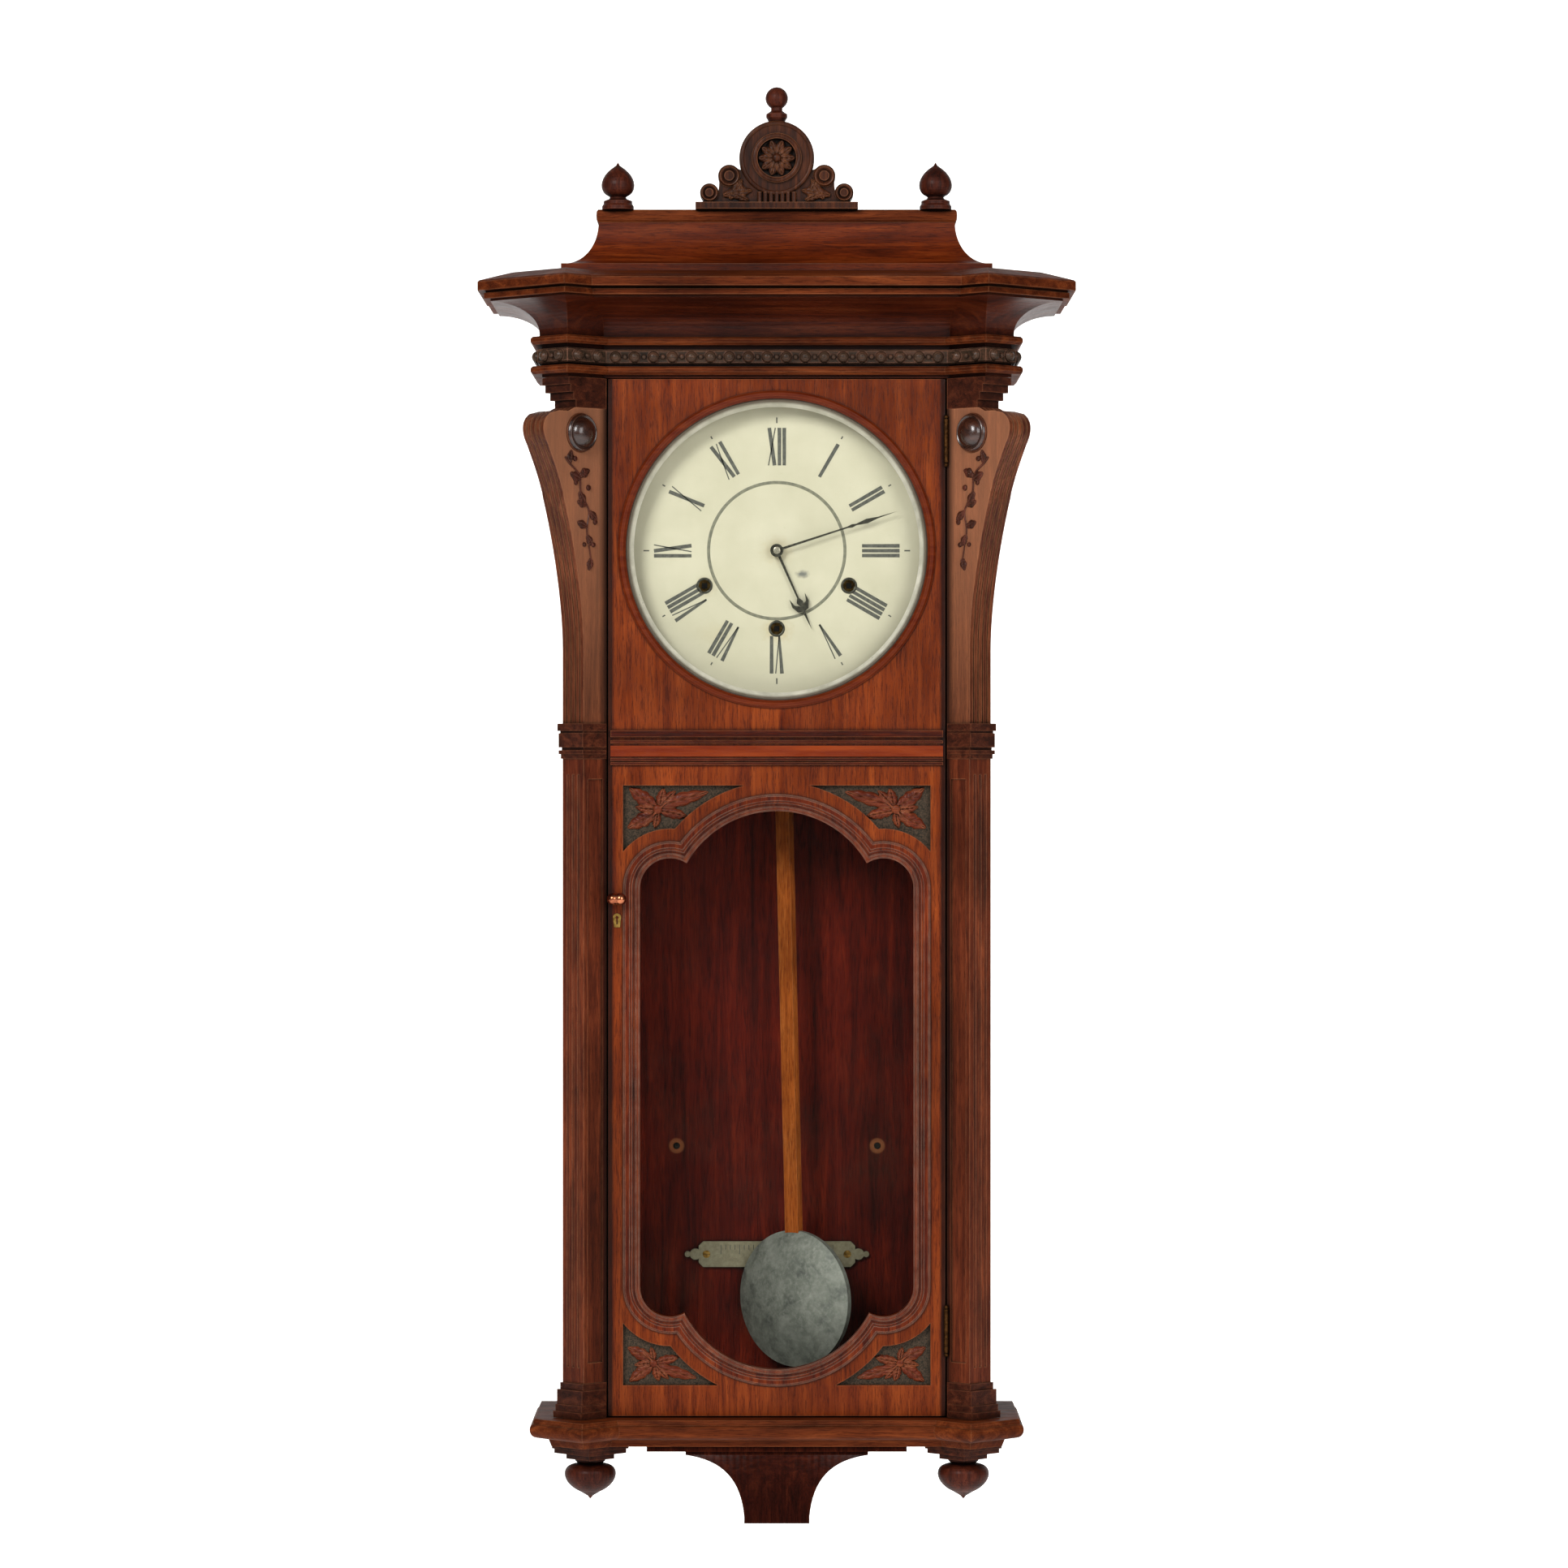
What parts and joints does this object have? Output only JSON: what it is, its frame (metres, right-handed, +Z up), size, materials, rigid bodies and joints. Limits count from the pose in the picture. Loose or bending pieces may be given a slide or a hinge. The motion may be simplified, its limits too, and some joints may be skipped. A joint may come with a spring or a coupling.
{
  "type": "wall clock",
  "caption": "Carved wooden vienna wall clock with a glazed hinged door, round dial, pendulum, striking movement, scroll consoles, moulded cornice and crest.",
  "frame": {"origin": "hole of the steel hanger plate, on the wall plane at the back of the case", "axes": "+Z up along the case, -Y out of the dial towards the viewer, +Y into the wall, +X to the viewer's right"},
  "size_m": [0.524, 0.251, 1.2721],
  "materials": {
    "red_wood": "french polished red-brown veneer, worn",
    "dark_wood": "dark polished moulding",
    "carved_wood": "carved walnut, waxed, rubbed edges",
    "rod_wood": "varnished orange-brown",
    "brass": "aged, lightly brushed",
    "knob_metal": "worn coppery, rubbed bright",
    "steel": "blued and dulled",
    "zinc": "dull mottled grey cast zinc",
    "silvered": "silvered, tarnished",
    "dial_enamel": "aged cream dial paint",
    "scale_plate": "cream plate with fine marks",
    "pane": "clear, slightly uneven old glass"
  },
  "bodies": {
    "case": {"back_board": "red_wood", "side_board_left": "red_wood", "side_board_right": "red_wood", "top_board": "red_wood", "bottom_board": "red_wood", "corner_post_left": "red_wood", "corner_post_right": "red_wood", "frieze": "dark_wood", "frieze_fillets": "carved_wood", "bead_band": "dark_wood", "cornice_cove": "carved_wood", "cornice_slab": "carved_wood", "roof": "red_wood", "cap_board": "dark_wood", "crest": "carved_wood", "crest_finial": "dark_wood", "side_finials": "dark_wood", "console_left": "carved_wood", "console_right": "carved_wood", "capitals": "carved_wood", "mid_bands": "carved_wood", "lower_pilasters": "carved_wood", "plinths": "carved_wood", "base_ledge": "carved_wood", "drop_blocks": "dark_wood", "drop_finials": "dark_wood", "tail_bracket": "carved_wood", "hanger_plate": "steel", "wood_screws": "brass", "beat_scale": "scale_plate", "movement_bracket": "steel", "front_plate": "brass", "back_plate": "brass", "dial": "dial_enamel", "gongs": "steel", "hinges": "brass"},
    "door": {"door_frame": "red_wood", "door_bands": "dark_wood", "window_moulding": "dark_wood", "spandrels": "dark_wood", "sight_ring": "silvered", "dial_glass": "pane", "window_glass": "pane", "escutcheon": "brass", "door_leaves": "brass"},
    "knob": {"door_knob": "knob_metal"},
    "hammer_arbor": {"hammers": "steel"},
    "going_barrel": {"barrel_going": "brass"},
    "strike_barrel": {"barrel_strike": "brass"},
    "chime_barrel": {"barrel_chime": "brass"},
    "third": {"third_wheel": "brass"},
    "escape": {"escape_wheel": "brass"},
    "anchor": {"anchor": "steel"},
    "minute_motion": {"minute_wheel": "brass"},
    "hour": {"hour_hand": "steel"},
    "minute": {"minute_hand": "steel"},
    "suspension": {"suspension_spring": "brass"},
    "pendulum": {"pendulum_rod": "rod_wood", "pendulum_bob": "zinc"},
    "nut": {"rating_nut": "brass"}
  },
  "joints": [
    {"name": "door_swing", "type": "hinge", "parent": "case", "child": "door", "pos_m": [0.14921, -0.1427, -0.48], "axis": [0, 0, 1], "range_deg": [0, 100]},
    {"name": "knob_turn", "type": "hinge", "parent": "door", "child": "knob", "pos_m": [-0.1407, -0.15, -0.4914], "axis": [0, 1, 0], "range_deg": [-90, 0]},
    {"name": "minute_turn", "type": "hinge", "parent": "case", "child": "minute", "pos_m": [0, -0.118, -0.1836], "axis": [0, 1, 0], "continuous": true},
    {"name": "hour_turn", "type": "hinge", "parent": "case", "child": "hour", "pos_m": [0, -0.114, -0.1836], "axis": [0, 1, 0], "continuous": true},
    {"name": "minute_wheel_turn", "type": "hinge", "parent": "case", "child": "minute_motion", "pos_m": [-0.0192, -0.106, -0.1836], "axis": [0, 1, 0], "continuous": true},
    {"name": "third_turn", "type": "hinge", "parent": "case", "child": "third", "pos_m": [-0.02025, -0.08, -0.1681], "axis": [0, 1, 0], "continuous": true},
    {"name": "escape_turn", "type": "hinge", "parent": "case", "child": "escape", "pos_m": [0, -0.09, -0.1526], "axis": [0, 1, 0], "continuous": true},
    {"name": "going_wind", "type": "hinge", "parent": "case", "child": "going_barrel", "pos_m": [0, -0.09, -0.2526], "axis": [0, 1, 0], "continuous": true},
    {"name": "strike_wind", "type": "hinge", "parent": "case", "child": "strike_barrel", "pos_m": [-0.064, -0.09, -0.2146], "axis": [0, 1, 0], "continuous": true},
    {"name": "chime_wind", "type": "hinge", "parent": "case", "child": "chime_barrel", "pos_m": [0.064, -0.09, -0.2146], "axis": [0, 1, 0], "continuous": true},
    {"name": "hammer_lift", "type": "hinge", "parent": "case", "child": "hammer_arbor", "pos_m": [-0.0676, -0.05, -0.2636], "axis": [0, 1, 0], "range_deg": [-3.4, 14]},
    {"name": "pendulum_swing", "type": "hinge", "parent": "case", "child": "suspension", "pos_m": [0, -0.06, -0.122], "axis": [0, 1, 0], "range_deg": [-2.2, 4.8]},
    {"name": "anchor_rock", "type": "hinge", "parent": "case", "child": "anchor", "pos_m": [0, -0.08, -0.122], "axis": [0, 1, 0], "range_deg": [-2.2, 4.8]},
    {"name": "hook_twist", "type": "hinge", "parent": "suspension", "child": "pendulum", "pos_m": [0, -0.06, -0.122], "axis": [-0.0227, 0, 0.9997], "range_deg": [-2, 78]},
    {"name": "nut_turn", "type": "hinge", "parent": "pendulum", "child": "nut", "pos_m": [0, -0.06, -0.122], "axis": [-0.0227, 0, 0.9997], "continuous": true}
  ],
  "couplings": [
    {"joint": "hour_turn", "follows": "minute_turn", "ratio": 0.083333},
    {"joint": "minute_wheel_turn", "follows": "minute_turn", "ratio": -0.33333},
    {"joint": "third_turn", "follows": "escape_turn", "ratio": -0.13333},
    {"joint": "anchor_rock", "follows": "pendulum_swing", "ratio": 1}
  ]
}
